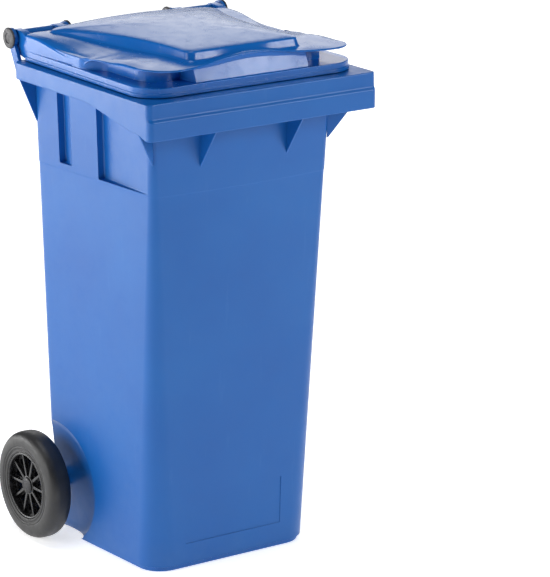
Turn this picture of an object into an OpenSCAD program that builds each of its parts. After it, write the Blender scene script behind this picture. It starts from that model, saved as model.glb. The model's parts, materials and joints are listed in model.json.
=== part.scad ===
// Two-wheel refuse bin with a hinged lid, about 120 litres.
// Right-handed, mm, Z up, front towards -Y, standing on Z = 0.

/* [Container] */
// Half width of the container at the foot
base_half_width = 174; // [150:1:200]
// Half width of the container's front corners under the rim
top_half_width = 190.5; // [170:1:215]
// Extra half width of the back corners at the foot
rear_flare_foot = 6.5; // [0:0.5:15]
// Extra half width of the back corners under the rim
rear_flare_top = 17.5; // [0:0.5:25]
// Distance from the rim's centre to the front wall at the foot
base_front = 121; // [100:1:150]
// Distance from the rim's centre to the front wall under the rim
top_front = 160.5; // [140:1:190]
// Distance from the rim's centre to the back wall
back_wall = 215; // [180:1:230]
// Forward crown of the front wall under the rim
front_crown = 10; // [0:0.5:20]
// Wall thickness of the container
wall = 4; // [3:0.5:6]
// Height of the foot step
foot_height = 9; // [4:1:20]

/* [Rim] */
// Height of the rim's top face
rim_height = 889; // [800:1:950]
// Full width of the rim
rim_width = 480; // [440:1:520]
// Full depth of the rim
rim_depth = 448; // [400:1:500]
// Depth of the skirt at the sides and back of the rim
side_skirt = 30; // [20:1:50]
// Depth of the comb skirt at the front of the rim
front_skirt = 64; // [40:1:90]
// Thickness of the rim's skirts and flange
rim_wall = 3.5; // [3:0.5:6]

/* [Lid] */
// Gap between the rim and the lid's skirt
lid_gap = 1.6; // [0.5:0.1:4]
// Height of the lid's skirt band
lid_band = 16.5; // [8:0.5:25]
// Wall thickness of the lid
lid_wall = 3; // [2:0.5:5]
// Height of the raised deck's edge above the rim
deck_rise = 67; // [50:1:90]
// Fall of the deck's edge towards the back, in degrees
deck_slope = 1.5; // [0:0.1:2]
// Rise of the grip lip in the middle of the front
lip_arch = 12; // [0:1:25]

/* [Hinge] */
// Distance of the hinge axis behind the rim's centre
hinge_back = 246; // [236:1:260]
// Height of the hinge axis above the rim
hinge_rise = 37; // [30:1:50]
// Radius of the hinge pins
pin_radius = 6; // [4:0.5:8]
// Radius of the hinge pin heads
pin_head_radius = 19; // [12:0.5:22]
// Radius of the handle bars
handle_radius = 13; // [10:0.5:16]

/* [Wheels] */
// Radius of the tyres
tyre_radius = 100; // [80:1:125]
// Width of the tyres
tyre_width = 48; // [35:1:60]
// Distance from the middle of the bin to a tyre's outer face
wheel_outer = 253; // [240:1:270]
// Distance of the axle behind the rim's centre
axle_back = 189; // [170:1:210]
// Radius of the steel axle
axle_radius = 10; // [8:0.5:12]
// Number of spokes in each rim
spoke_count = 10; // [5:1:12]

/* [Hidden] */
front_face = rim_depth / 2 + 3.5;
wheel_back = axle_back + tyre_radius;
depth_centre = (wheel_back - front_face) / 2;
hinge_height = rim_height + hinge_rise;
lid_base = rim_height + lid_gap;
band_top = lid_base + lid_band;
deck_edge = rim_height + deck_rise;
shoulder_top = rim_height + 49;
wheel_inner = wheel_outer - tyre_width;
axle_half = wheel_outer - 5.1;
axle_chamfer = 1.5;
running = 0.1;
snug = 0.03;
$fn = 64;

plastic = [0.09, 0.33, 0.68];
black = [0.07, 0.07, 0.08];
steel = [0.62, 0.64, 0.66];

// Moves the rim-centred layout so that the whole bin's box is centred.
module centred() {
    translate([0, -depth_centre, 0]) children();
}

module both_sides() {
    children();
    mirror([1, 0, 0]) children();
}

// Cylinder along X between two stations.
module rod_x(x0, x1, r) {
    translate([x0, 0, 0]) rotate([0, 90, 0]) cylinder(h = x1 - x0, r = r);
}

// Upright plate across X with an outline given in Y and Z.
module plate_x(x0, x1) {
    translate([x0, 0, 0]) rotate([90, 0, 90]) linear_extrude(x1 - x0) children();
}

function mix(a, b, t) = a + (b - a) * t;
function arc(cx, cy, r, a0, n) = [for (i = [0:n]) [cx + r * cos(a0 + 90 * i / n), cy + r * sin(a0 + 90 * i / n)]];
function between(p, q, n) = [for (i = [1:n]) mix(p, q, i / (n + 1))];

// Closed outline with its own front and back widths and corner radii.
function ring(wf, wr, yf, yb, rf, rr, c = 8, side = 7, front = 15) = concat(
    arc(wf - rf, yf + rf, rf, -90, c),
    between([wf, yf + rf], [wr, yb - rr], side),
    arc(wr - rr, yb - rr, rr, 0, c),
    between([wr - rr, yb], [rr - wr, yb], side),
    arc(rr - wr, yb - rr, rr, 90, c),
    between([-wr, yb - rr], [-wf, yf + rf], side),
    arc(rf - wf, yf + rf, rf, 180, c),
    between([rf - wf, yf], [wf - rf, yf], front));

// ---------------------------------------------------------------- container

function body_half(h) = mix(base_half_width, top_half_width, h / rim_height);
function body_front(h) = mix(base_front, top_front, h / rim_height);
function body_flare(h) = mix(rear_flare_foot, rear_flare_top, h / rim_height);
function corner_radius(h) = mix(50, 8, h / rim_height);

// Plan section of the container at height h, inset by d.
module body_section(h, d) {
    w = body_half(h) - d;
    yf = -body_front(h) + d;
    rf = max(corner_radius(h) - d, 5);
    pts = ring(w, w + body_flare(h), yf, back_wall - d, rf, 25 - d, 6, 1, 9);
    crown = front_crown * h / rim_height;
    span = w - rf;
    polygon([for (p = pts)
        p.y <= yf + 0.01 ? [p.x, p.y - crown * max(1 - pow(p.x / span, 2), 0)] : p]);
}

module taper(h0, h1, d) {
    hull() {
        translate([0, 0, h0]) linear_extrude(0.01) body_section(h0, d);
        translate([0, 0, h1 - 0.01]) linear_extrude(0.01) body_section(h1, d);
    }
}

// Tapering pocket against a side wall, grown inwards by e for its backing wall.
module side_pocket(y_step, depth, y_end, end_depth, z0, lean, e) {
    x = body_half(z0) + body_flare(z0) * (y_step + body_front(z0)) / (back_wall + body_front(z0));
    xe = body_half(z0) + body_flare(z0) * (y_end + body_front(z0)) / (back_wall + body_front(z0));
    translate([x, 0, z0 - e]) rotate([0, lean, 0]) linear_extrude(rim_height - rim_wall - z0 + e)
        polygon([[12, y_step + e], [-depth - e, y_step + e], [xe - x - end_depth - e, y_end - e],
            [xe - x + 12, y_end - e]]);
}

module side_pockets(e) {
    side_pocket(130, 13.5, 90, 0, 716, 1.6, e);
    side_pocket(10, 13.5, -body_front(708) + 14, 1, 708, 1.3, e);
}

// Room for a wheel in the lower back corner, deeper towards the floor, grown by e.
module wheel_well(e) {
    translate([164 - e, 178, 106]) rotate([0, 8, 0]) rod_x(0, 80, 118 + e);
}

// Slot across the back for the axle, grown by e.
module axle_slot(e) {
    translate([-144 - e, axle_back - 24 - e, axle_height() - 30 - e])
        cube([288 + 2 * e, 60 + e, 60 + 2 * e]);
}

function axle_height() = tyre_radius;

module rim_outline(d) {
    polygon(ring(rim_width / 2 - d, rim_width / 2 - d, -rim_depth / 2 + d, rim_depth / 2 - d,
        6 - d, 22 - d, 6, 1, 1));
}

module rim() {
    // flange round the mouth
    translate([0, 0, rim_height - rim_wall]) linear_extrude(rim_wall) rim_outline(0);
    // skirt, cut along its lower edge
    difference() {
        translate([0, 0, rim_height - front_skirt]) linear_extrude(front_skirt) difference() {
            rim_outline(0);
            rim_outline(rim_wall);
        }
        plate_x(-rim_width, rim_width) polygon([[-205, 700], [-205, rim_height - front_skirt + 8],
            [-165, rim_height - front_skirt + 8.5], [-29, rim_height - side_skirt],
            [300, rim_height - side_skirt], [300, 700]]);
    }
    // thicker lower band of the comb skirt
    plate_x(-rim_width / 2, rim_width / 2) polygon([[-220.5, rim_height - front_skirt],
        [-226, rim_height - front_skirt], [-front_face, rim_height - front_skirt + 1.5],
        [-front_face, rim_height - 31], [-224, rim_height - 26], [-220.5, rim_height - 26]]);
}

// Low bead that the lid's skirt rests over.
module rim_bead() {
    translate([0, 0, rim_height - 1]) linear_extrude(1 + lid_gap - 0.35) difference() {
        polygon(ring(218, 212, -184, 208, 48, 10, 8, 1, 1));
        polygon(ring(213, 207, -179, 203, 43, 6, 8, 1, 1));
    }
}

module gussets() {
    foot = rim_height - 139;
    // two under the front of the rim
    both_sides() plate_x(90, 93) polygon([[-158.4, foot], [-160.4, foot], [-222, rim_height - 51],
        [-222, rim_height - 2], [-165.5, rim_height - 2]]);
    // one on each front corner, reaching out and forward
    both_sides() translate([body_half(foot) - 3, -body_front(foot) + 3, 0]) rotate([0, 0, -30])
        translate([0, 1.5, 0]) rotate([90, 0, 0]) linear_extrude(3) polygon([[0, rim_height - 126],
            [3, rim_height - 124], [58, rim_height - 52], [58, rim_height - 2], [0, rim_height - 2]]);
    // one on each side near the back
    both_sides() translate([0, 201.5, 0]) rotate([90, 0, 0]) linear_extrude(3)
        polygon([[201.5, rim_height - 110], [203.5, rim_height - 110], [238, rim_height - 30],
            [238, rim_height - 2], [203, rim_height - 2]]);
}

module hinge_disc(r) {
    translate([hinge_back, hinge_height]) circle(r = r);
}

// Web from the rim's back edge up to the hinge axis.
module hinge_web() {
    polygon([[hinge_back - 7.1, hinge_height + 3.7], [hinge_back + 7.1, hinge_height - 3.7],
        [228, rim_height - 18], [223, rim_height - side_skirt], [220.8, rim_height - side_skirt],
        [220.8, rim_height - 2], [215, rim_height - 2]]);
}

module handles() {
    both_sides() {
        plate_x(222, 229) {
            hinge_disc(18);
            hinge_web();
        }
        plate_x(195, 202.5) hinge_web();
        plate_x(141.5, 149) hinge_web();
        plate_x(110, 117) {
            hinge_disc(17);
            hinge_web();
        }
        translate([0, hinge_back, hinge_height]) rod_x(141.5, 202.5, handle_radius);
    }
}

module axle_bosses() {
    both_sides() translate([0, axle_back, axle_height()]) rod_x(145, wheel_inner - 5, 17);
    // bearing ribs in the slot
    for (x = [-100, 0, 100])
        plate_x(x - 3, x + 3) polygon([[axle_back - 26, axle_height() - 32],
            [axle_back + 14, axle_height() - 20], [axle_back + 18, axle_height()],
            [axle_back + 14, axle_height() + 20], [axle_back - 26, axle_height() + 32]]);
}

module label_panel() {
    lean = atan((top_front - base_front) / rim_height);
    translate([0, -base_front, 0]) rotate([lean, 0, 0]) translate([-103, -6, 48]) cube([206, 6.6, 90]);
}

module body() {
    color(plastic) centred() difference() {
        union() {
            difference() {
                union() {
                    taper(foot_height, rim_height, 0);
                    linear_extrude(foot_height + 1) body_section(0, 6);
                    rim();
                }
                difference() {
                    taper(foot_height + 2, rim_height + 1, wall);
                    both_sides() side_pockets(wall);
                    both_sides() wheel_well(wall);
                    axle_slot(wall);
                }
                both_sides() side_pockets(0);
                both_sides() wheel_well(0);
                axle_slot(0);
                label_panel();
            }
            gussets();
            rim_bead();
            handles();
            axle_bosses();
        }
        both_sides() translate([0, hinge_back, hinge_height]) rod_x(105, 240, pin_radius + snug);
        translate([0, axle_back, axle_height()]) rod_x(-260, 260, axle_radius + snug);
    }
}

// ---------------------------------------------------------------------- lid

// Height of the top of the grip lip across the middle of the front.
function lip_height(x) = rim_height + 46 + (abs(x) < 120 ? lip_arch * pow(cos(90 * x / 120), 2) : 0);

// Front edge of the lip: held back in the middle, fuller at the wings.
function lip_front(x) =
    abs(x) < 60 ? -185 :
    abs(x) < 165 ? -185 - 22 * (abs(x) - 60) / 105 : -207;

// Thin slice of a plan outline, for skinning between heights.
module slice(z, wf, wr, yf, yb, rf, rr) {
    translate([0, 0, z]) linear_extrude(0.01) polygon(ring(wf, wr, yf, yb, rf, rr, 6, 1, 1));
}

// Upper body of the lid below the deck, inset by d.
module lid_upper(d) {
    hull() {
        slice(band_top - 1, 212 - d, 219 - d, -208 + d, 214 - d, 52, 9);
        slice(rim_height + 37 - d, 212 - d, 219 - d, -208 + d, 214 - d, 52, 9);
        slice(rim_height + 45 - d, 210 - d, 214 - d, -205 + d, 212 - d, 51, 9);
        slice(shoulder_top - d, 198 - d, 205 - d, -190 + d, 205 - d, 44, 9);
    }
}

// Raised deck with its steep flanks, falling towards the back and inset by d.
module lid_deck(d) {
    translate([0, -162, deck_edge]) rotate([-deck_slope, 0, 0]) translate([0, 162, -deck_edge]) hull() {
        slice(shoulder_top - 1 - d, 125 - d, 172 - d, -167 + d, 204 - d, 18, 20);
        slice(deck_edge - 1 - d, 116 - d, 160 - d, -162 + d, 195 - d, 12, 18);
        slice(deck_edge + 2 - d, 108 - d, 148 - d, -154 + d, 186 - d, 12, 18);
        slice(deck_edge + 11.4 - d, 50 - d, 55 - d, -30 + d, 140 - d, 20, 20);
    }
}

// Core of the lid behind the finger gap, inset by d.
module lid_core(d) {
    polygon([[-187 + d, -118 + d], [-172 + d, -140 + d], [-150 + d, -148 + d], [150 - d, -148 + d],
        [172 - d, -140 + d], [187 - d, -118 + d], [188 - d, -16], [220 - d, 26], [220 - d, 215 - d],
        [-220 + d, 215 - d], [-220 + d, 26], [-188 + d, -16]]);
}

// Space under the lip's edge, down to the skirt band.
module finger_gap() {
    difference() {
        plate_x(-rim_width / 2, rim_width / 2) polygon([[-240, band_top], [28, band_top],
            [23, rim_height + 18.6], [-150, rim_height + 41.8], [-240, rim_height + 41.8]]);
        translate([0, 0, band_top - 5]) linear_extrude(60) lid_core(0);
    }
}

// Space in front of the held-back middle of the lip.
module lip_trim() {
    translate([0, 0, band_top]) linear_extrude(60) polygon(concat([[175, -240]],
        [for (x = [165:-15:-165]) [x, lip_front(x)]], [[-175, -240]]));
}

// Arch over the middle of the lip.
module lip_arch_band() {
    xs = [for (x = [-120:10:120]) x];
    difference() {
        translate([0, -138, 0]) rotate([90, 0, 0]) linear_extrude(70) polygon(concat(
            [for (x = xs) [x, lip_height(x)]],
            [for (i = [len(xs) - 1:-1:0]) [xs[i], lip_height(xs[i]) - 4]]));
        lip_trim();
    }
}

// Block behind the middle of the lip, from height z0 up to the arch, inset by d.
module lip_panel(z0, d) {
    half = 118 - d;
    top = -1 - d;
    translate([0, -130, 0]) rotate([90, 0, 0]) linear_extrude(49 - d) polygon(concat(
        [[half, z0], [half, lip_height(half) + top]],
        [for (x = [110:-10:-110]) [x, lip_height(x) + top]],
        [[-half, lip_height(half) + top], [-half, z0]]));
}

module lid_shell() {
    difference() {
        union() {
            difference() {
                lid_upper(0);
                finger_gap();
                lip_trim();
            }
            translate([0, 0, lid_base]) linear_extrude(lid_band)
                polygon(ring(225, 219, -195, 214, 55, 9, 8, 1, 1));
            lid_deck(0);
            lip_arch_band();
            lip_panel(band_top - 2, 0);
        }
        // hollow underside
        translate([0, 0, lid_base - 1]) linear_extrude(lid_band + 1 - lid_wall)
            polygon(ring(221, 215, -191, 210, 51, 6, 8, 1, 1));
        translate([0, 0, lid_base - 1]) linear_extrude(lid_band + 6) lid_core(lid_wall);
        intersection() {
            lid_upper(lid_wall);
            translate([0, 0, lid_base]) linear_extrude(80) lid_core(lid_wall);
        }
        lid_deck(lid_wall);
        lip_panel(lid_base - 1, lid_wall);
    }
}

module lid_lugs() {
    both_sides() for (x = [[203.5, 218.8], [119.5, 139]])
        plate_x(x[0], x[1]) {
            hinge_disc(15);
            polygon([[205, shoulder_top - 6], [205, rim_height + 6], [213, rim_height + 3],
                [232, rim_height + 8], [hinge_back + 9, hinge_height - 12],
                [hinge_back, hinge_height + 15], [226, shoulder_top + 1]]);
        }
}

module lid() {
    color(plastic) centred() difference() {
        union() {
            lid_shell();
            lid_lugs();
        }
        both_sides() translate([0, hinge_back, hinge_height]) rod_x(110, 230, pin_radius + running);
    }
}

// --------------------------------------------------------------- hinge pins

// Headed pin along +X with its head's inner face at the origin.
module hinge_pin(length) {
    rotate([0, 90, 0]) rotate_extrude() polygon([[0, -4.2], [pin_head_radius - 6, -4.2],
        [pin_head_radius - 1.2, -3.4], [pin_head_radius, -2.2], [pin_head_radius, 0],
        [pin_radius, 0], [pin_radius, length - 7], [pin_radius - 0.8, length - 6],
        [pin_radius - 0.8, length - 4.5], [pin_radius - 0.2, length - 4], [3, length], [0, length]]);
}

module place_pin(x, side) {
    color(black) centred() mirror([side < 0 ? 0 : 1, 0, 0])
        translate([-x, hinge_back, hinge_height]) children();
}

module hinge_pin_outer_left() place_pin(229.1, -1) hinge_pin(42);
module hinge_pin_outer_right() place_pin(229.1, 1) hinge_pin(42);
module hinge_pin_inner_left() place_pin(109.9, -1) mirror([1, 0, 0]) hinge_pin(48);
module hinge_pin_inner_right() place_pin(109.9, 1) mirror([1, 0, 0]) hinge_pin(48);

// ------------------------------------------------------------ axle and wheels

module axle() {
    color(steel) centred() translate([0, axle_back, axle_height()]) {
        rod_x(-axle_half + axle_chamfer, axle_half - axle_chamfer, axle_radius);
        both_sides() rotate([0, 90, 0]) translate([0, 0, axle_half - axle_chamfer - 0.1])
            rotate_extrude() polygon([[0, 0], [axle_radius, 0],
                [axle_radius - axle_chamfer, axle_chamfer + 0.1], [0, axle_chamfer + 0.1]]);
    }
}

module place_wheel(side) {
    centred() mirror([side < 0 ? 0 : 1, 0, 0])
        translate([-wheel_outer, axle_back, axle_height()]) rotate([0, 90, 0]) children();
}

// Wheel parts are drawn along +Z, from the outer face inwards.
module wheel_tyre() {
    w = tyre_width;
    r = tyre_radius;
    rotate_extrude($fn = 96) polygon([[62.03, 3], [63.5, 1.6], [66, 1.2], [67.5, 2.6], [70, 2.6],
        [71.5, 0.6], [80, 0], [87, 0.8], [92, 2.8], [96, 6.4], [98.6, 11], [r, 17], [r, w - 17],
        [98.6, w - 11], [96, w - 6.4], [92, w - 2.8], [87, w - 0.8], [80, w], [66, w], [62.03, w - 2]]);
}

module wheel_rim() {
    hub_out = 8.2;
    hub_in = tyre_width - 0.8;
    difference() {
        union() {
            rotate_extrude($fn = 96) polygon([[58, 3.4], [60, 2.4], [62, 3.2], [62, tyre_width - 2.4],
                [57.5, tyre_width - 2.4], [57.5, 6]]);
            translate([0, 0, hub_out]) cylinder(h = hub_in - hub_out, r = 18);
            translate([0, 0, 16]) cylinder(h = 5, r = 59);
            for (i = [0:spoke_count - 1]) rotate([0, 0, i * 360 / spoke_count])
                translate([14, -2.2, 8]) cube([46, 4.4, 24]);
        }
        for (i = [0:spoke_count - 1]) rotate([0, 0, (i + 0.5) * 360 / spoke_count])
            translate([0, 0, 14]) linear_extrude(9) polygon([[24, -3.2], [52, -11.5], [52, 11.5], [24, 3.2]]);
        translate([0, 0, -1]) cylinder(h = tyre_width + 2, r = axle_radius + running);
    }
}

// Push-on cap that grips the end of the axle.
module wheel_cap() {
    rotate_extrude() polygon([[0, 3.6], [9, 3.8], [13, 4.8], [15, 6.2], [15, 7.6],
        [axle_radius + snug, 7.6], [axle_radius + snug, 5], [0, 5]]);
}

module washer() {
    difference() {
        cylinder(h = 3, r = 16);
        translate([0, 0, -1]) cylinder(h = 5, r = axle_radius + snug);
    }
}

module tyre_left() color(black) place_wheel(-1) wheel_tyre();
module tyre_right() color(black) place_wheel(1) wheel_tyre();
module rim_left() color(black) place_wheel(-1) wheel_rim();
module rim_right() color(black) place_wheel(1) wheel_rim();
module axle_cap_left() color(steel) place_wheel(-1) wheel_cap();
module axle_cap_right() color(steel) place_wheel(1) wheel_cap();
module washer_left() color(steel) place_wheel(-1) translate([0, 0, tyre_width + 1]) washer();
module washer_right() color(steel) place_wheel(1) translate([0, 0, tyre_width + 1]) washer();

body();
lid();
hinge_pin_outer_left();
hinge_pin_outer_right();
hinge_pin_inner_left();
hinge_pin_inner_right();
axle();
washer_left();
washer_right();
rim_left();
rim_right();
tyre_left();
tyre_right();
axle_cap_left();
axle_cap_right();
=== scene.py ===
import json
from math import atan2, cos, exp, hypot, pi, radians, sin

import bmesh
import bpy
from mathutils import Matrix, Vector


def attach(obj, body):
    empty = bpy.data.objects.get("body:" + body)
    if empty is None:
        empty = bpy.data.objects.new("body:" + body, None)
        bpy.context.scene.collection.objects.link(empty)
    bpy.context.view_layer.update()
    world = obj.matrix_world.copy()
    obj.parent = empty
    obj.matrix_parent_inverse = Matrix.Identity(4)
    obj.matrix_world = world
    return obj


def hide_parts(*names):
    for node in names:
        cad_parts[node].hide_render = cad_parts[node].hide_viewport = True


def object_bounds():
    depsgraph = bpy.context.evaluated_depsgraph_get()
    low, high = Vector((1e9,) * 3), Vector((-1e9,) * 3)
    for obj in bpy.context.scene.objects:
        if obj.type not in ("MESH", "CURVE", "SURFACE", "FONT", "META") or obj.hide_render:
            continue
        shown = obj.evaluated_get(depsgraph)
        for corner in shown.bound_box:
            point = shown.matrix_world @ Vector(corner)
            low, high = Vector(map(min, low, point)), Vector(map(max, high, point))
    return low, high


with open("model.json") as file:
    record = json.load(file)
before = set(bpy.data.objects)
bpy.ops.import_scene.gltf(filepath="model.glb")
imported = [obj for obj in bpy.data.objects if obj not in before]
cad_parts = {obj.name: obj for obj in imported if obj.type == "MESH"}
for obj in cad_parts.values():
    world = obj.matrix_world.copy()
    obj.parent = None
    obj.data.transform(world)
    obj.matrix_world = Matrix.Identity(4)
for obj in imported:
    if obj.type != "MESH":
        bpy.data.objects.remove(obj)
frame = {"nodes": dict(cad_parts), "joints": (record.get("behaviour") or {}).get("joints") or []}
CAD_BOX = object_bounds()

# Shapes are worked out in millimetres around the rim's centre and placed in the frame in metres.
MM = 0.001
JOINT = {j["name"]: Vector(j["pos_m"]) for j in frame["joints"]}
HINGE_BACK = 246
RIM_CENTRE_Y = JOINT["lid_hinge"].y - HINGE_BACK * MM
HINGE_Z = JOINT["lid_hinge"].z / MM
AXLE_Y = (JOINT["wheel_left_spin"].y - RIM_CENTRE_Y) / MM
AXLE_Z = JOINT["wheel_left_spin"].z / MM
WHEEL_OUTER = CAD_BOX[1][0] / MM

# Container
RIM_Z = 889
WALL = 4
BASE_HALF, TOP_HALF = 174, 190.5
BASE_FRONT, TOP_FRONT = 121, 160.5
FLARE_FOOT, FLARE_TOP = 6.5, 17.5
BACK_WALL = 215
CROWN = 10
FOOT_Z, FOOT_INSET = 9, 6
MOULD_LINE = 705
# Rim
RIM_HALF_X, RIM_HALF_Y = 240, 224
RIM_WALL = 3.5
SIDE_SKIRT, FRONT_SKIRT = 30, 64
LEDGE = 3.5
# Lid
LID_BASE = RIM_Z + 1.6
BAND_TOP = LID_BASE + 16.5
LID_WALL = 3
SHOULDER = RIM_Z + 50.5
DECK = RIM_Z + 66.5
GAP_END = 25
CROWN_TOP = RIM_Z + 74.6
CROWN_SHARES = (0.12, 0.35, 0.6, 0.8, 0.93)
DECK_FALL = 11.5
SIDE_FALL = 10.5
ARCH_RISE = 9
UNDER_ARCH_RISE = 9.5
ARCH_HALF = 120
LIP_FRONT, WING_EXTRA = -185, 22
# Wheels
TYRE_R, TYRE_W = 100, 48
SPOKES = 10
# Hinge
PIN_R = 6
HANDLE_R = 13


# ------------------------------------------------------------------ mesh helpers


def mix(a, b, t):
    return a + (b - a) * t


def smooth(t):
    t = min(max(t, 0), 1)
    return t * t * (3 - 2 * t)


def arc(cx, cy, r, start, steps):
    turns = [radians(start + 90 * i / steps) for i in range(steps + 1)]
    return [(cx + r * cos(a), cy + r * sin(a)) for a in turns]


def row(p, q, shares):
    return [(mix(p[0], q[0], t), mix(p[1], q[1], t)) for t in shares]


def even(count):
    return [i / (count + 1) for i in range(1, count + 1)]


# Stations along the front of a lid ring, dense where the grip panel ends.
FRONT_STATIONS = [s / 150 for s in (0, 12, 24, 36, 48, 60, 72, 84, 96, 106, 112, 116, 118, 124, 132, 141)]
LID_FRONT = [0.5 - s / 2 for s in reversed(FRONT_STATIONS)] + [0.5 + s / 2 for s in FRONT_STATIONS[1:]]


def ring(wf, wr, yf, yb, rf, rr, corner=8, side=None, back=None, front=None):
    """Closed outline, anticlockwise from the front right corner."""
    side = even(24) if side is None else side
    back = even(16) if back is None else back
    front = even(24) if front is None else front
    turned = [1 - t for t in reversed(side)]
    return (
        arc(wf - rf, yf + rf, rf, -90, corner)
        + row((wf, yf + rf), (wr, yb - rr), side)
        + arc(wr - rr, yb - rr, rr, 0, corner)
        + row((wr - rr, yb), (rr - wr, yb), back)
        + arc(rr - wr, yb - rr, rr, 90, corner)
        + row((-wr, yb - rr), (-wf, yf + rf), turned)
        + arc(rf - wf, yf + rf, rf, 180, corner)
        + row((rf - wf, yf), (wf - rf, yf), front)
    )


def rounded(points, radii, steps=4, closed=False):
    """The same path with each corner eased by its radius, always with the same number of points."""
    pts = [Vector(p) for p in points]
    count = len(pts)
    path = []
    for i, p in enumerate(pts):
        if not closed and i in (0, count - 1):
            path.append(p.copy())
            continue
        before, after = pts[i - 1], pts[(i + 1) % count]
        reach = max(radii[i], 0.02)
        a = p + (before - p).normalized() * min(reach, (before - p).length * 0.45)
        b = p + (after - p).normalized() * min(reach, (after - p).length * 0.45)
        for k in range(steps + 1):
            t = k / steps
            path.append(a * (1 - t) ** 2 + p * 2 * t * (1 - t) + b * t**2)
    return path


def new_object(name, verts, faces):
    """Mesh object in the frame's metres from rim-centred millimetres."""
    mesh = bpy.data.meshes.new(name)
    mesh.from_pydata([(x * MM, RIM_CENTRE_Y + y * MM, z * MM) for x, y, z in verts], [], faces)
    bm = bmesh.new()
    bm.from_mesh(mesh)
    bmesh.ops.remove_doubles(bm, verts=bm.verts, dist=1e-6)
    bmesh.ops.recalc_face_normals(bm, faces=bm.faces)
    bm.to_mesh(mesh)
    bm.free()
    obj = bpy.data.objects.new(name, mesh)
    bpy.context.scene.collection.objects.link(obj)
    return obj


def loft(name, rings, close_ends=True, loop=False):
    """Skin between rings of equal length. With loop the last ring joins the first."""
    n = len(rings[0])
    verts = [p for r in rings for p in r]
    faces = []
    for k in range(len(rings) if loop else len(rings) - 1):
        a, b = k * n, ((k + 1) % len(rings)) * n
        faces += [(a + i, a + (i + 1) % n, b + (i + 1) % n, b + i) for i in range(n)]
    if close_ends and not loop:
        faces.append(tuple(range(n)))
        faces.append(tuple(range((len(rings) - 1) * n, len(rings) * n)))
    return new_object(name, verts, faces)


def spin(name, profile, centre, direction=1, segments=96):
    """Solid of revolution about X. The profile holds (radius, distance inwards) points, closed."""
    cx, cy, cz = centre
    rings = []
    for i in range(segments):
        a = 2 * pi * i / segments
        rings.append([(cx + d * direction, cy + r * cos(a), cz + r * sin(a)) for r, d in profile])
    return loft(name, rings, loop=True)


def prism(name, outline, low, high, place=Matrix.Identity(4), bevel=0.0, segments=3):
    """Plate with an outline in its own XY, from low to high along Z, placed and then eased at its edges."""
    n = len(outline)
    verts = [place @ Vector((x, y, z)) for z in (low, high) for x, y in outline]
    faces = [tuple(reversed(range(n))), tuple(range(n, 2 * n))]
    faces += [(i, (i + 1) % n, n + (i + 1) % n, n + i) for i in range(n)]
    obj = new_object(name, verts, faces)
    if bevel:
        bm = bmesh.new()
        bm.from_mesh(obj.data)
        sharp = [e for e in bm.edges if len(e.link_faces) == 2 and e.calc_face_angle() > radians(20)]
        bmesh.ops.bevel(
            bm,
            geom=sharp,
            offset=bevel * MM,
            segments=segments,
            profile=0.5,
            affect="EDGES",
            clamp_overlap=True,
        )
        bm.to_mesh(obj.data)
        bm.free()
    return obj


# Maps a plate's own (x, y, z) to (y, z, x) of the bin, so that it stands across the bin.
ACROSS = Matrix(((0, 0, 1, 0), (1, 0, 0, 0), (0, 1, 0, 0), (0, 0, 0, 1)))


def plate_x(name, x0, x1, outline, bevel=0.8):
    return prism(name, outline, x0, x1, ACROSS, bevel)


def rod_x(name, x0, x1, y, z, r, ease=0.0, segments=64):
    if not ease:
        ring_points = [(0, 0), (r, 0), (r, x1 - x0), (0, x1 - x0)]
    else:
        corners = [(0, 0), (r, 0), (r, x1 - x0), (0, x1 - x0)]
        eased = rounded([(a, b, 0) for a, b in corners], (0, ease, ease, 0), 3)
        ring_points = [(p.x, p.y) for p in eased]
    return spin(name, ring_points, (x0, y, z), 1, segments)


def mirrored(obj):
    """Copy on the other side of the bin."""
    mesh = obj.data.copy()
    mesh.transform(Matrix.Scale(-1, 4, (1, 0, 0)))
    mesh.flip_normals()
    copy = bpy.data.objects.new(obj.name + "_mirror", mesh)
    bpy.context.scene.collection.objects.link(copy)
    return copy


def combine(base, operation, others):
    """Joins or cuts the others into the base, then removes them."""
    for other in others:
        step = base.modifiers.new("solid", "BOOLEAN")
        step.operation = operation
        step.solver = "MANIFOLD"
        step.object = other
    bpy.context.view_layer.update()
    result = bpy.data.meshes.new_from_object(base.evaluated_get(bpy.context.evaluated_depsgraph_get()))
    base.modifiers.clear()
    base.data = result
    for other in others:
        bpy.data.objects.remove(other)
    return base


def finish_piece(obj, name, body, material, nodes=(), angle=32):
    """Names a piece, shades it, gives it its material and its body."""
    obj.name = name
    obj.data.materials.clear()
    obj.data.materials.append(material)
    for face in obj.data.polygons:
        face.use_smooth = True
        face.material_index = 0
    obj.data.set_sharp_from_angle(angle=radians(angle))
    normals = obj.modifiers.new("even_normals", "WEIGHTED_NORMAL")
    normals.keep_sharp = True
    normals.weight = 60
    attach(obj, body)
    if nodes:
        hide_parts(*nodes)
    return obj


# --------------------------------------------------------------------- materials


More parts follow.
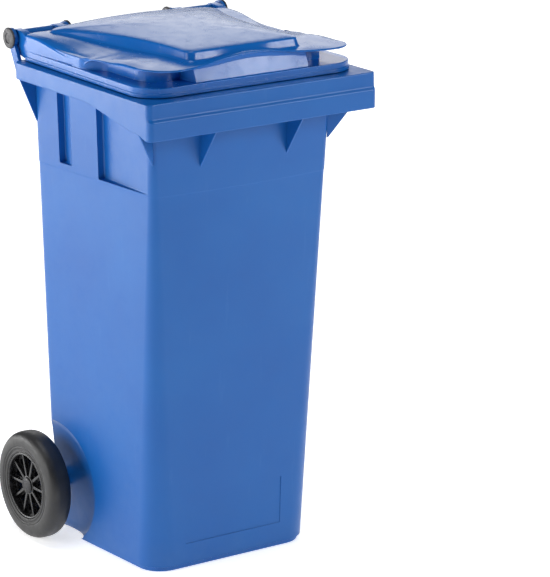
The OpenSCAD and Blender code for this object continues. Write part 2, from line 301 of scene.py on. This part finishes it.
class Shader:
    """A Principled material with the few node patterns that the pieces share."""

    def __init__(self, name, roughness, specular=0.5, metallic=0.0):
        self.material = bpy.data.materials.new(name)
        self.material.use_nodes = True
        self.nodes = self.material.node_tree.nodes
        self.links = self.material.node_tree.links
        self.shader = self.nodes["Principled BSDF"]
        self.shader.inputs["Roughness"].default_value = roughness
        self.shader.inputs["Specular IOR Level"].default_value = specular
        self.shader.inputs["Metallic"].default_value = metallic
        self.place = self.nodes.new("ShaderNodeTexCoord").outputs["Object"]

    def stretched(self, x, y, z):
        node = self.nodes.new("ShaderNodeMapping")
        node.inputs["Scale"].default_value = (x, y, z)
        self.links.new(self.place, node.inputs["Vector"])
        return node.outputs["Vector"]

    def noise(self, scale, detail=4, roughness=0.5, vector=None):
        node = self.nodes.new("ShaderNodeTexNoise")
        node.inputs["Scale"].default_value = scale
        node.inputs["Detail"].default_value = detail
        node.inputs["Roughness"].default_value = roughness
        self.links.new(vector or self.place, node.inputs["Vector"])
        return node.outputs["Fac"]

    def grains(self, scale):
        node = self.nodes.new("ShaderNodeTexVoronoi")
        node.inputs["Scale"].default_value = scale
        self.links.new(self.place, node.inputs["Vector"])
        return node.outputs["Distance"]

    def spread(self, value, low, high, to_low=0.0, to_high=1.0):
        node = self.nodes.new("ShaderNodeMapRange")
        node.inputs["From Min"].default_value = low
        node.inputs["From Max"].default_value = high
        node.inputs["To Min"].default_value = to_low
        node.inputs["To Max"].default_value = to_high
        self.links.new(value, node.inputs["Value"])
        return node.outputs["Result"]

    def times(self, a, b):
        node = self.nodes.new("ShaderNodeMath")
        node.operation = "MULTIPLY"
        for socket, value in zip(node.inputs, (a, b)):
            if isinstance(value, float):
                socket.default_value = value
            else:
                self.links.new(value, socket)
        return node.outputs["Value"]

    def height(self):
        node = self.nodes.new("ShaderNodeSeparateXYZ")
        self.links.new(self.place, node.inputs["Vector"])
        return node.outputs["Z"]

    def blend_colour(self, share, a, b):
        node = self.nodes.new("ShaderNodeMix")
        node.data_type = "RGBA"
        self.links.new(share, node.inputs["Factor"])
        for socket, value in ((node.inputs["A"], a), (node.inputs["B"], b)):
            if isinstance(value, tuple):
                socket.default_value = (*value, 1)
            else:
                self.links.new(value, socket)
        return node.outputs["Result"]

    def colour(self, value):
        self.links.new(value, self.shader.inputs["Base Color"])

    def roughness(self, value):
        self.links.new(value, self.shader.inputs["Roughness"])

    def bump(self, layers):
        """Layers are (height, strength, distance in metres), each laid over the one before."""
        normal = None
        for value, strength, distance in layers:
            node = self.nodes.new("ShaderNodeBump")
            node.inputs["Strength"].default_value = strength
            node.inputs["Distance"].default_value = distance
            self.links.new(value, node.inputs["Height"])
            if normal:
                self.links.new(normal, node.inputs["Normal"])
            normal = node.outputs["Normal"]
        self.links.new(normal, self.shader.inputs["Normal"])


def moulded_blue(name, deep, light, roughness):
    """Dyed polyethylene: cloudy colour, faint streaks, a slightly dusty foot and a fine grain."""
    s = Shader(name, roughness, 0.36)
    cloud = s.spread(s.noise(5, 3), 0.3, 0.7)
    colour = s.blend_colour(cloud, deep, light)
    streaks = s.spread(s.noise(60, 6, 0.6, s.stretched(1, 1, 0.12)), 0.62, 0.8, 0, 0.07)
    colour = s.blend_colour(streaks, colour, (0.16, 0.33, 0.66))
    dust = s.times(s.spread(s.height(), 0.06, 0.0, 0.0, 0.16), s.spread(s.noise(30, 6), 0.35, 0.7))
    colour = s.blend_colour(dust, colour, (0.1, 0.2, 0.36))
    s.colour(colour)
    wear = s.noise(45, 6, 0.65)
    s.roughness(s.spread(wear, 0.3, 0.75, roughness - 0.06, roughness + 0.12))
    s.bump([(s.noise(9, 2), 0.2, 0.001), (s.noise(1100, 2), 0.06, 0.0001)])
    return s.material


def black_rubber():
    s = Shader("tyre_rubber", 0.5, 0.5)
    dusty = s.spread(s.noise(24, 6, 0.6), 0.35, 0.8)
    colour = s.blend_colour(dusty, (0.016, 0.016, 0.017), (0.027, 0.027, 0.026))
    specks = s.spread(s.noise(420, 3, 0.7), 0.66, 0.74, 0, 0.5)
    s.colour(s.blend_colour(specks, colour, (0.17, 0.165, 0.155)))
    s.roughness(s.spread(s.noise(80, 5), 0.3, 0.7, 0.38, 0.55))
    s.bump([(s.noise(700, 4), 0.35, 0.00018), (s.grains(900), 0.12, 0.0001)])
    return s.material


def black_moulding(name, roughness, base):
    s = Shader(name, roughness, 0.5)
    colour = s.blend_colour(s.spread(s.noise(40, 5), 0.35, 0.7), base, tuple(c * 1.9 + 0.004 for c in base))
    rubbed = s.spread(s.noise(160, 4), 0.5, 0.75, 0, 0.25)
    s.colour(s.blend_colour(rubbed, colour, (0.1, 0.1, 0.11)))
    s.roughness(s.spread(s.noise(120, 4), 0.3, 0.7, roughness - 0.06, roughness + 0.14))
    s.bump([(s.noise(1100, 2), 0.25, 0.0001)])
    return s.material


def zinc(name, base, roughness):
    s = Shader(name, roughness, 0.5, 1.0)
    drawn = s.noise(500, 3, 0.6, s.stretched(0.05, 1, 1))
    colour = s.blend_colour(s.spread(s.noise(70, 5), 0.35, 0.7), base, tuple(c * 0.72 for c in base))
    s.colour(s.blend_colour(s.spread(s.noise(210, 5), 0.64, 0.74, 0, 0.6), colour, (0.2, 0.19, 0.18)))
    s.roughness(s.spread(drawn, 0.3, 0.7, roughness - 0.08, roughness + 0.12))
    s.bump([(drawn, 0.2, 0.00008)])
    return s.material


container_plastic = moulded_blue("container_plastic", (0.003, 0.095, 0.37), (0.005, 0.113, 0.404), 0.36)
lid_plastic = moulded_blue("lid_plastic", (0.005, 0.12, 0.46), (0.008, 0.14, 0.5), 0.2)
pin_plastic = black_moulding("pin_plastic", 0.5, (0.02, 0.02, 0.024))
rim_plastic = black_moulding("rim_plastic", 0.22, (0.004, 0.004, 0.0045))
tyre_rubber = black_rubber()
axle_steel = zinc("axle_steel", (0.56, 0.57, 0.58), 0.32)
washer_steel = zinc("washer_steel", (0.6, 0.61, 0.62), 0.36)
cap_steel = zinc("cap_steel", (0.07, 0.07, 0.072), 0.5)


# --------------------------------------------------------------------- container


def body_half(h):
    return mix(BASE_HALF, TOP_HALF, h / RIM_Z)


def body_front(h):
    return mix(BASE_FRONT, TOP_FRONT, h / RIM_Z)


def body_flare(h):
    return mix(FLARE_FOOT, FLARE_TOP, h / RIM_Z)


def corner_radius(h):
    return mix(50, 8, h / RIM_Z)


def section(h, inset, z):
    """Plan outline of the container at height h, drawn at height z."""
    w = body_half(h) - inset
    yf = inset - body_front(h)
    rf = max(corner_radius(h) - inset, 5)
    crown = CROWN * h / RIM_Z
    outline = ring(w, w + body_flare(h), yf, BACK_WALL - inset, rf, 25 - inset, 10)
    span = w - rf
    pts = []
    for x, y in outline:
        bulge = crown * max(1 - (x / span) ** 2, 0) if y <= yf + 0.01 else 0
        pts.append((x, y - bulge, z))
    return pts


def container_outside():
    foot = [(0, FOOT_INSET + 1.5), (0.5, FOOT_INSET + 0.5), (1.6, FOOT_INSET), (FOOT_Z - 1, FOOT_INSET)]
    foot += [(FOOT_Z - 0.3, FOOT_INSET - 0.6), (FOOT_Z, FOOT_INSET - 1.5), (FOOT_Z, 2), (FOOT_Z + 0.7, 0.6)]
    rings = [section(z, inset, z) for z, inset in foot]
    rings += [section(h, 0.7, h) for h in (12, 60, 120, 180, 240, 300, 360, 420, 480, 540, 600, 650, 690)]
    rings += [section(h, d, h) for h, d in ((MOULD_LINE - 1, 0.7), (MOULD_LINE, 0.4), (MOULD_LINE + 1, 0))]
    rings += [section(h, 0, h) for h in (730, 770, 810, 850, RIM_Z - 1)]
    return loft("outside", rings)


def container_inside():
    rings = [section(h, WALL, h) for h in (14, 60, 180, 300, 420, 540, 660, 780, RIM_Z + 1)]
    rings.insert(0, section(11, WALL + 3, 11))
    return loft("inside", rings)


def side_pocket(y_step, depth, y_end, end_depth, z0, lean, grow, bevel):
    """Tapering pocket against the right wall, grown inwards for the wall behind it."""
    span = BACK_WALL + body_front(z0)
    x = body_half(z0) + body_flare(z0) * (y_step + body_front(z0)) / span
    xe = body_half(z0) + body_flare(z0) * (y_end + body_front(z0)) / span
    outline = [(12, y_step + grow), (-depth - grow, y_step + grow)]
    outline += [(xe - x - end_depth - grow, y_end - grow), (xe - x + 12, y_end - grow)]
    place = Matrix.Translation((x, 0, z0 - grow)) @ Matrix.Rotation(radians(lean), 4, "Y")
    return prism("pocket", outline, 0, RIM_Z - RIM_WALL - z0 + grow, place, bevel)


def pockets(grow, bevel):
    right = [
        side_pocket(130, 13.5, 90, 0, 716, 1.6, grow, bevel),
        side_pocket(10, 13.5, 14 - body_front(708), 1, 708, 1.3, grow, bevel),
    ]
    return right + [mirrored(p) for p in right]


def wheel_wells(grow):
    """Rounded dishes for the wheels, leaning so that they are deeper towards the floor."""
    r = 118 + grow
    corners = rounded([(0, -grow, 0), (r, -grow, 0), (r, 80, 0), (0, 80, 0)], (0, 26, 0, 0), 8)
    well = spin("well", [(p.x, p.y) for p in corners], (0, 0, 0), 1, 128)
    to_metres = Matrix.Translation((0, RIM_CENTRE_Y, 0))
    tilt = Matrix.Translation((164 * MM, 178 * MM, 106 * MM)) @ Matrix.Rotation(radians(8), 4, "Y")
    well.data.transform(to_metres @ tilt @ to_metres.inverted())
    return [well, mirrored(well)]


def axle_slot(grow, bevel):
    back = AXLE_Y - 24 - grow
    low, high = AXLE_Z - 30 - grow, AXLE_Z + 30 + grow
    outline = [(back, low), (back + 60 + grow, low), (back + 60 + grow, high), (back, high)]
    return plate_x("slot", -144 - grow, 144 + grow, outline, bevel)


def label_panel():
    lean = atan2(TOP_FRONT - BASE_FRONT, RIM_Z)
    place = Matrix.Translation((0, -BASE_FRONT, 0)) @ Matrix.Rotation(lean, 4, "X")
    outline = [(-103, -6), (103, -6), (103, 1.4), (-103, 1.4)]
    return prism("label", outline, 48, 138, place, 0.5)


def swept(name, outline, profile):
    """Closed profile carried round an outline. The profile gets (x, y, outward x, outward y)."""
    rings = []
    n = len(outline)
    for i, (x, y) in enumerate(outline):
        ax, ay = outline[i - 1]
        bx, by = outline[(i + 1) % n]
        length = hypot(bx - ax, by - ay)
        nx, ny = (by - ay) / length, (ax - bx) / length
        rings.append([(x + nx * d, y + ny * d, z) for d, z in profile(x, y, nx, ny)])
    return loft(name, rings, loop=True)


# Stations along the rim's sides, dense near the front corner where the skirt's lower edge steps up.
RIM_SIDE_STATIONS = (3, 7, 11, 15, 19, 24, 30, 38, 53, 90, 130, 170, 189, 200, 240, 280, 320, 360, 390)
RIM_SIDE = [t / 404 for t in RIM_SIDE_STATIONS]


def rim_path():
    return ring(RIM_HALF_X, RIM_HALF_X, -RIM_HALF_Y, RIM_HALF_Y, 10, 22, 8, RIM_SIDE, even(8), even(12))


def skirt_bottom(y):
    """Lower edge of the skirt: deep across the front, sloping up along the sides."""
    front = RIM_Z - FRONT_SKIRT
    if y < -165:
        return front + 8.5 * smooth((y + 218) / 34)
    return mix(front + 8.5, RIM_Z - SIDE_SKIRT, min((y + 165) / 136, 1))


def skirt_profile(x, y, nx, ny):
    low = skirt_bottom(y)
    out = LEDGE * max(-ny, 0) ** 2
    upper, lower = max(RIM_Z - 26, low + 9), max(RIM_Z - 31, low + 5)
    lean = 2 * max(-ny, 0) ** 2
    corners = [(-6, RIM_Z), (-lean, RIM_Z), (0, upper), (out, lower), (out, low), (out - RIM_WALL, low)]
    corners += [(-RIM_WALL - lean, lower), (-RIM_WALL - lean, RIM_Z - RIM_WALL), (-6, RIM_Z - RIM_WALL)]
    path = rounded([(d, z, 0) for d, z in corners], (0, 2.4, 1.5, 1.5, 1.8, 1.2, 1, 1, 0), 3, closed=True)
    return [(p.x, p.y) for p in path]


def rim_flange():
    def outline(inset):
        return ring(RIM_HALF_X - inset, RIM_HALF_X - inset, inset - RIM_HALF_Y, RIM_HALF_Y - inset, 6, 20, 6)

    return loft("flange", [[(x, y, z) for x, y in outline(4)] for z in (RIM_Z - RIM_WALL, RIM_Z)])


def rim_bead():
    """Low bead round the mouth, inside the lid's skirt."""

    def profile(x, y, nx, ny):
        corners = [(-5, RIM_Z - 2, 0), (0, RIM_Z - 2, 0), (-0.4, RIM_Z + 1.25, 0), (-4.6, RIM_Z + 1.25, 0)]
        return [(p.x, p.y) for p in rounded(corners, (0, 0, 0.8, 0.8), 3, closed=True)]

    return swept("bead", ring(218, 212, -184, 208, 48, 10), profile)


def gussets():
    foot = RIM_Z - 139
    top = RIM_Z - 2
    front = [(-158.4, foot), (-160.4, foot), (-222, RIM_Z - 51), (-222, top), (-165.5, top)]
    corner = [(0, RIM_Z - 126), (3, RIM_Z - 124), (58, RIM_Z - 52), (58, top), (0, top)]
    side = [(201.5, RIM_Z - 110), (203.5, RIM_Z - 110), (238, RIM_Z - SIDE_SKIRT), (238, top), (203, top)]
    upright = Matrix.Rotation(radians(90), 4, "X")
    front_corner = Matrix.Translation((body_half(foot) - 3, 3 - body_front(foot), 0))
    outwards = front_corner @ Matrix.Rotation(radians(-30), 4, "Z")
    right = [
        plate_x("gusset_front", 90, 93, front),
        prism("gusset_corner", corner, -1.5, 1.5, outwards @ upright, 0.8),
        prism("gusset_side", side, -201.5, -198.5, upright, 0.8),
    ]
    return right + [mirrored(g) for g in right]


def hinge_web():
    return [
        (HINGE_BACK - 7.1, HINGE_Z + 3.7), (HINGE_BACK + 7.1, HINGE_Z - 3.7), (228, RIM_Z - 18),
        (223, RIM_Z - SIDE_SKIRT), (220.8, RIM_Z - SIDE_SKIRT), (220.8, RIM_Z - 2), (215, RIM_Z - 2),
    ]


def handles():
    stations = ((222, 229), (195, 202.5), (141.5, 149), (110, 117))
    right = [plate_x("web", x0, x1, hinge_web()) for x0, x1 in stations]
    right.append(rod_x("ear", 222, 229, HINGE_BACK, HINGE_Z, 18, 1.2))
    right.append(rod_x("ear", 110, 117, HINGE_BACK, HINGE_Z, 17, 1.2))
    right.append(rod_x("handle", 141.5, 202.5, HINGE_BACK, HINGE_Z, HANDLE_R, 0.8))
    return right + [mirrored(p) for p in right]


def axle_bearings():
    rib = [
        (AXLE_Y - 26, AXLE_Z - 32), (AXLE_Y + 14, AXLE_Z - 20), (AXLE_Y + 18, AXLE_Z),
        (AXLE_Y + 14, AXLE_Z + 20), (AXLE_Y - 26, AXLE_Z + 32),
    ]
    bosses = [rod_x("boss", 145, WHEEL_OUTER - TYRE_W - 5, AXLE_Y, AXLE_Z, 17, 1.5)]
    bosses.append(mirrored(bosses[0]))
    return bosses + [plate_x("rib", x - 3, x + 3, rib) for x in (-100, 0, 100)]


def build_container():
    body = container_outside()
    combine(body, "UNION", [rim_flange(), swept("skirt", rim_path(), skirt_profile)])
    inside = container_inside()
    combine(inside, "DIFFERENCE", pockets(WALL, 0) + wheel_wells(WALL) + [axle_slot(WALL, 0)])
    combine(body, "DIFFERENCE", [inside] + pockets(0, 3) + wheel_wells(0) + [axle_slot(0, 4), label_panel()])
    combine(body, "UNION", gussets() + [rim_bead()] + handles() + axle_bearings())
    bores = [rod_x("bore", -240, -105, HINGE_BACK, HINGE_Z, PIN_R + 0.03)]
    bores.append(rod_x("bore", 105, 240, HINGE_BACK, HINGE_Z, PIN_R + 0.03))
    bores.append(rod_x("bore", -260, 260, AXLE_Y, AXLE_Z, 10.03))
    combine(body, "DIFFERENCE", bores)
    return finish_piece(body, "container_body", "container", container_plastic, ["body"])


# --------------------------------------------------------------------------- lid


def arch(x):
    """Share of the grip lip's rise over the middle of the front."""
    return cos(pi * x / (2 * ARCH_HALF)) ** 2 if abs(x) < ARCH_HALF else 0


def lip_front(x):
    """The lip is held back in the middle and fuller at the wings."""
    return LIP_FRONT - WING_EXTRA * smooth((abs(x) - 60) / 105)


def lip_underside(x, y):
    """Height of the lip's lower edge. It closes on the skirt in a quick curve near the back."""
    if y > GAP_END:
        return BAND_TOP + 0.3
    side = RIM_Z + 40.4 - 22 * exp((y - GAP_END) / 17)
    front = 3 * smooth((-60 - y) / 60) + 3 * smooth((-120 - y) / 60)
    return side + front + (UNDER_ARCH_RISE * arch(x) if y < -150 else 0)


LID_SIDE = even(30)


def lid_ring(wf, wr, yf, yb, rf, rr):
    return ring(wf, wr, yf, yb, rf, rr, 8, LID_SIDE, even(16), LID_FRONT)


def held_back(outline, setback):
    """Keeps a ring behind the lip's front edge by the setback."""
    return [(x, max(y, lip_front(x) + setback) if y < -120 else y) for x, y in outline]


def core_ring(inset, panel=-183):
    """Wall behind the finger gap. It comes forward in the middle and meets the sides near the back."""
    wide = 218.9 - inset
    narrow = 190 - inset
    pts = []
    for x, y in lid_ring(narrow, wide, -148 + inset, 213.7 - inset, 40, 9):
        if -148 + 40 + inset < y < 204 - inset:
            x = (1 if x > 0 else -1) * mix(narrow, wide, smooth((y + 22) / 48))
        elif y < -147.9 + inset and abs(x) < 119 - inset * 0.3:
            y = panel + inset
        pts.append((x, y))
    return pts


def deck_ring(inset, grow):
    """Edge of the deck, which spreads and falls towards the back. Points are (x, y, height)."""
    pts = []
    for x, y in lid_ring(116 - inset, 176 - inset, -162 + inset, 196 - inset, 14, 16):
        back = min(max((y + 150) / 330, 0), 1)
        if -162 + 14 + inset < y < 180 - inset:
            x = (1 if x > 0 else -1) * (116 - inset + 60 * back**2.6)
        fall = DECK_FALL * back**2.2
        if y > 150:
            rear_fall = DECK_FALL - 9 * (1 - min(abs(x) / 176, 1) ** 2)
            fall = mix(fall, rear_fall, smooth((y - 150) / 46))
        length = hypot(x, y - 20)
        pts.append((x + grow * x / length, y + grow * (y - 20) / length, DECK - fall))
    return pts


def crown_ring(share, edge):
    """Ring of the deck's crown, a share of the way from its middle to its edge."""
    return [(x * share, mix(15, y, share), mix(CROWN_TOP, z + 1.4, share**2.2)) for x, y, z in edge]


def side_drop(y):
    """Fall of the shoulder along the middle of each side, where the lip closes on the skirt."""
    return SIDE_FALL * smooth((y + 110) / 115) * (1 - smooth((y - 60) / 130))


def build_lid_shell():
    lip = held_back(lid_ring(212, 219, -208, 214, 52, 9), 0)
    lip_in = held_back(lid_ring(209, 218.8, -205, 213.8, 50, 9), 3)
    top_edge = held_back(lid_ring(210, 217, -205, 212.6, 51, 9), 2)
    shoulder = held_back(lid_ring(196, 207, -190, 208, 44, 9), 13)
    deck, foot = deck_ring(0, 0), deck_ring(0, 6)
    shelf = [(mix(f[0], s[0], 0.3), mix(f[1], s[1], 0.3)) for f, s in zip(foot, shoulder)]
    core, core_foot, core_in = core_ring(0, -177), core_ring(0, -189), core_ring(LID_WALL)
    band = lid_ring(225, 219, -195, 214, 52, 9)
    lower_band = lid_ring(226.4, 220.4, -196.4, 214.4, 53, 9)
    band_in = lid_ring(222, 216, -192, 211, 50, 8)
    deck_in, foot_in = deck_ring(LID_WALL, 0), deck_ring(LID_WALL, 4)
    over = [crown_ring(share, deck) for share in CROWN_SHARES]
    beneath = [crown_ring(share, deck_in) for share in reversed(CROWN_SHARES)]
    profiles = []
    for i, (x, y) in enumerate(lip):
        drop = side_drop(y)
        under = lip_underside(x, y)
        deck_z = deck[i][2]
        lip_top = SHOULDER + (ARCH_RISE * arch(x) if y < -150 else 0) - drop
        foot_z = min(lip_top + 0.7 * drop, deck_z - 2.5)
        edge_z = max(lip_top - 3 - 0.35 * drop, under + 2.6)
        # each stop is (point, height, radius), from the crown out and down, then back up inside
        stops = [(ring_points[i], ring_points[i][2], 8) for ring_points in over]
        stops += [
            (deck[i], deck_z + 0.3, 3),
            (foot[i], foot_z, 4),
            (shelf[i], foot_z + 0.2 - 0.15 * drop, 14),
            (shoulder[i], max(lip_top - 0.4, edge_z + 0.8), 5 + drop),
            (top_edge[i], edge_z, 1.6 + 0.3 * drop),
            (lip[i], max(lip_top - 6.5 - 0.4 * drop, under + 1.4), 1.4),
            (lip[i], under, 0.8),
            (lip_in[i], under + 0.2, 0.8),
            (core[i], max(under + 0.4, BAND_TOP + 0.6), 1),
            (core_foot[i], BAND_TOP, 1.2),
            (band[i], BAND_TOP, 1.6),
            (band[i], LID_BASE + 7, 0.5),
            (lower_band[i], LID_BASE + 6.2, 0.6),
            (lower_band[i], LID_BASE, 0.8),
            (band_in[i], LID_BASE, 0.8),
            (band_in[i], BAND_TOP - LID_WALL, 2),
            (core_in[i], BAND_TOP - LID_WALL, 1.5),
            (core_in[i], lip_top - LID_WALL - 0.8, 2),
            (foot_in[i], foot_z - LID_WALL, 3),
            (deck_in[i], deck_z - LID_WALL, 3),
        ]
        stops += [(ring_points[i], ring_points[i][2] - LID_WALL, 4) for ring_points in beneath]
        corners = [(point[0], point[1], z) for point, z, radius in stops]
        profiles.append(rounded(corners, [radius for point, z, radius in stops], 4))
    rings = [[p[k] for p in profiles] for k in range(len(profiles[0]))]
    return loft("lid_shell", rings)


def lid_lugs():
    arm = [
        (205, SHOULDER - 6), (205, RIM_Z + 8), (213, RIM_Z + 4), (232, RIM_Z + 8),
        (HINGE_BACK + 9, HINGE_Z - 12), (HINGE_BACK, HINGE_Z + 15), (226, SHOULDER + 1),
    ]
    right = []
    for x0, x1 in ((203.5, 218.8), (119.5, 139)):
        right.append(plate_x("arm", x0, x1, arm, 1.2))
        right.append(rod_x("knuckle", x0, x1, HINGE_BACK, HINGE_Z, 15, 1.2))
    return right + [mirrored(p) for p in right]


def build_lid():
    lid = build_lid_shell()
    combine(lid, "UNION", lid_lugs())
    bores = [rod_x("bore", 110, 230, HINGE_BACK, HINGE_Z, PIN_R + 0.1)]
    combine(lid, "DIFFERENCE", bores + [mirrored(bores[0])])
    return finish_piece(lid, "lid_cover", "lid", lid_plastic, ["lid"], 40)


# ------------------------------------------------------------------------ wheels


def revolved(corners, radii, steps=3):
    path = rounded([(r, d, 0) for r, d in corners], radii, steps, closed=True)
    return [(p.x, p.y) for p in path]


def build_wheel(side, sign):
    centre = (sign * WHEEL_OUTER, AXLE_Y, AXLE_Z)
    inwards = -sign
    w = TYRE_W
    corners = [
        (62.03, 3.2), (63.4, 1.6), (65.6, 1.4), (66.4, 2.9), (69.4, 2.9), (70.4, 1.0), (72.4, 0.8), (73, 1.7),
        (74.2, 1.7), (75, 0.5), (80, 0.05), (87, 0.8), (92, 2.8), (96, 6.4), (98.6, 11), (TYRE_R, 17),
        (TYRE_R, w - 17), (98.6, w - 11), (96, w - 6.4), (92, w - 2.8), (87, w - 0.8), (80, w), (66, w),
        (62.03, w - 2),
    ]
    tyre = spin("tyre", revolved(corners, [1.0] * 10 + [2.5] * 12 + [1] * 2), centre, inwards, 128)
    finish_piece(tyre, f"tyre_{side}_tread", f"wheel_{side}", tyre_rubber, [f"tyre_{side}"])

    barrel = [(58, 3.4), (60, 2.4), (62, 3.2), (62, w - 2.4), (57.5, w - 2.4), (57.5, 6)]
    rim = spin("rim", revolved(barrel, [0.8] * 6), centre, inwards, 128)
    hub = [(10.1, 8.2), (16.5, 8.2), (18, 9.6), (18, w - 2), (17, w - 0.8), (10.1, w - 0.8)]
    parts = [spin("hub", revolved(hub, [0.5, 0.8, 0.8, 0.8, 0.5, 0.5]), centre, inwards, 64)]
    disc = spin("disc", [(16, 16), (59, 16), (59, 21), (16, 21)], centre, inwards, 128)
    windows = []
    for k in range(SPOKES):
        turn = Matrix.Translation(centre) @ Matrix.Rotation(2 * pi * k / SPOKES, 4, "X")
        outward = Matrix(((0, 0, inwards, 0), (1, 0, 0, 0), (0, 1, 0, 0), (0, 0, 0, 1)))
        parts.append(prism("spoke", [(14, -3), (60, -2), (60, 2), (14, 3)], 9, 32, turn @ outward, 1.1))
        half = Matrix.Rotation(pi / SPOKES, 4, "X")
        hole = [(24, -3.2), (52, -11.5), (52, 11.5), (24, 3.2)]
        windows.append(prism("window", hole, 14, 23, turn @ half @ outward, 1.2))
    combine(disc, "DIFFERENCE", windows)
    combine(rim, "UNION", parts + [disc])
    finish_piece(rim, f"rim_{side}_spokes", f"wheel_{side}", rim_plastic, [f"rim_{side}"])


# ----------------------------------------------------------- pins, axle and fixings


def build_pin(name, start, inwards, length):
    """Headed pin with a dished face. Its head's inner face is at the start."""
    corners = [
        (0, -3), (8.5, -3), (9.5, -4.2), (13, -4.2), (17.8, -3.4), (19, -2.2), (19, 0), (PIN_R, 0),
        (PIN_R, length - 7), (5.2, length - 6), (5.2, length - 4.5), (5.8, length - 4), (3, length),
        (0, length),
    ]
    radii = [0, 0.6, 0.6, 1, 1, 0.8, 0.5, 0.4, 0.4, 0.3, 0.3, 0.3, 1, 0]
    pin = spin(name, revolved(corners, radii), (start, HINGE_BACK, HINGE_Z), inwards, 64)
    finish_piece(pin, f"{name}_dished", "container", pin_plastic, [name])


def build_cap(side, sign):
    corners = [
        (0, 3.6), (6, 3.7), (7, 4.3), (8.5, 3.9), (12.4, 4.6), (15, 6.2), (15, 7.6), (10.03, 7.6),
        (10.03, 5.1), (0, 5.1),
    ]
    radii = [0, 0.6, 0.6, 0.6, 1.4, 0.8, 0.4, 0.3, 0.3, 0]
    cap = spin("cap", revolved(corners, radii), (sign * WHEEL_OUTER, AXLE_Y, AXLE_Z), -sign, 64)
    finish_piece(cap, f"axle_cap_{side}_pressed", "container", cap_steel, [f"axle_cap_{side}"])


def dress_node(name, material, ease):
    """A CAD node that keeps its mesh, with eased edges and its own finish."""
    node = frame["nodes"][name]
    node.data.materials.clear()
    node.data.materials.append(material)
    weld = node.modifiers.new("weld", "WELD")
    weld.merge_threshold = 1e-6
    bevel = node.modifiers.new("ease", "BEVEL")
    bevel.width = ease * MM
    bevel.segments = 2
    bevel.limit_method = "ANGLE"
    bevel.angle_limit = radians(40)
    bevel.harden_normals = True


# ------------------------------------------------------------------------ studio


FLOOR_HALF = 30


def softbox(name, place, aim, width, height, power):
    light = bpy.data.lights.new(name, "AREA")
    light.shape = "RECTANGLE"
    light.size, light.size_y = width, height
    light.energy = power
    obj = bpy.data.objects.new(name, light)
    obj.location = place
    obj.rotation_euler = (Vector(aim) - Vector(place)).to_track_quat("-Z", "Y").to_euler()
    bpy.context.scene.collection.objects.link(obj)


def build_world():
    """Soft dome, brightest to the back left and dimmer at the front right."""
    world = bpy.data.worlds.new("studio")
    world.use_nodes = True
    tree = world.node_tree
    direction = tree.nodes.new("ShaderNodeTexCoord").outputs["Generated"]
    facing = tree.nodes.new("ShaderNodeVectorMath")
    facing.operation = "DOT_PRODUCT"
    facing.inputs[1].default_value = Vector((-0.8, 0.45, 0.4)).normalized()
    tree.links.new(direction, facing.inputs[0])
    level = tree.nodes.new("ShaderNodeMapRange")
    level.interpolation_type = "SMOOTHSTEP"
    level.inputs["From Min"].default_value = -0.35
    level.inputs["From Max"].default_value = 0.75
    level.inputs["To Min"].default_value = 0.3
    level.inputs["To Max"].default_value = 1.15
    tree.links.new(facing.outputs["Value"], level.inputs["Value"])
    tree.links.new(level.outputs["Result"], tree.nodes["Background"].inputs["Strength"])
    bpy.context.scene.world = world


def build_studio():
    build_world()
    bpy.context.scene.view_settings.view_transform = "Standard"
    mesh = bpy.data.meshes.new("floor")
    corners = [(FLOOR_HALF * x, FLOOR_HALF * y, 0) for x, y in ((-1, -1), (1, -1), (1, 1), (-1, 1))]
    mesh.from_pydata(corners, [], [(0, 1, 2, 3)])
    floor = bpy.data.objects.new("floor", mesh)
    bpy.context.scene.collection.objects.link(floor)
    paper = Shader("paper", 0.9, 0.1)
    paper.colour(paper.blend_colour(paper.noise(3, 2), (0.94, 0.94, 0.94), (0.96, 0.96, 0.96)))
    paper.shader.inputs["Emission Color"].default_value = (1, 1, 1, 1)
    paper.shader.inputs["Emission Strength"].default_value = 0.62
    mesh.materials.append(paper.material)
    overhead = bpy.data.lights.new("overhead", "SUN")
    overhead.energy, overhead.angle = 1.3, radians(30)
    lamp = bpy.data.objects.new("overhead", overhead)
    bpy.context.scene.collection.objects.link(lamp)
    softbox("sheen_back", (2.6, 3.8, 2.2), (0.1, 0, 0.95), 3.4, 2.0, 36)
    softbox("side_left", (-3.7, 0.5, 1.5), (-0.2, 0, 0.5), 2.4, 2.2, 75)
    softbox("sheen_left", (-2.4, 3.1, 0.6), (-0.2, 0, 0.3), 2.6, 0.9, 62)
    softbox("front_right", (2.2, -3.0, 2.1), (0, -0.2, 0.9), 1.5, 1.1, 66)


def build_camera():
    azimuth, elevation, distance = radians(-35.0927), radians(15.6731), 6.4299
    target = Vector((0.1897, RIM_CENTRE_Y + 0.0156, 0.4454))
    back = Vector((sin(azimuth) * cos(elevation), -cos(azimuth) * cos(elevation), sin(elevation)))
    data = bpy.data.cameras.new("camera")
    data.lens, data.sensor_width = 217.77, 36
    camera = bpy.data.objects.new("camera", data)
    camera.location = target + back * distance
    camera.rotation_euler = back.to_track_quat("Z", "Y").to_euler()
    bpy.context.scene.collection.objects.link(camera)
    bpy.context.scene.camera = camera


build_camera()
build_studio()
build_container()
build_lid()
for side, sign in (("left", -1), ("right", 1)):
    build_wheel(side, sign)
    build_cap(side, sign)
    build_pin(f"hinge_pin_outer_{side}", sign * 229.1, -sign, 42)
    build_pin(f"hinge_pin_inner_{side}", sign * 109.9, sign, 48)
    dress_node(f"washer_{side}", washer_steel, 0.4)
dress_node("axle", axle_steel, 0.3)
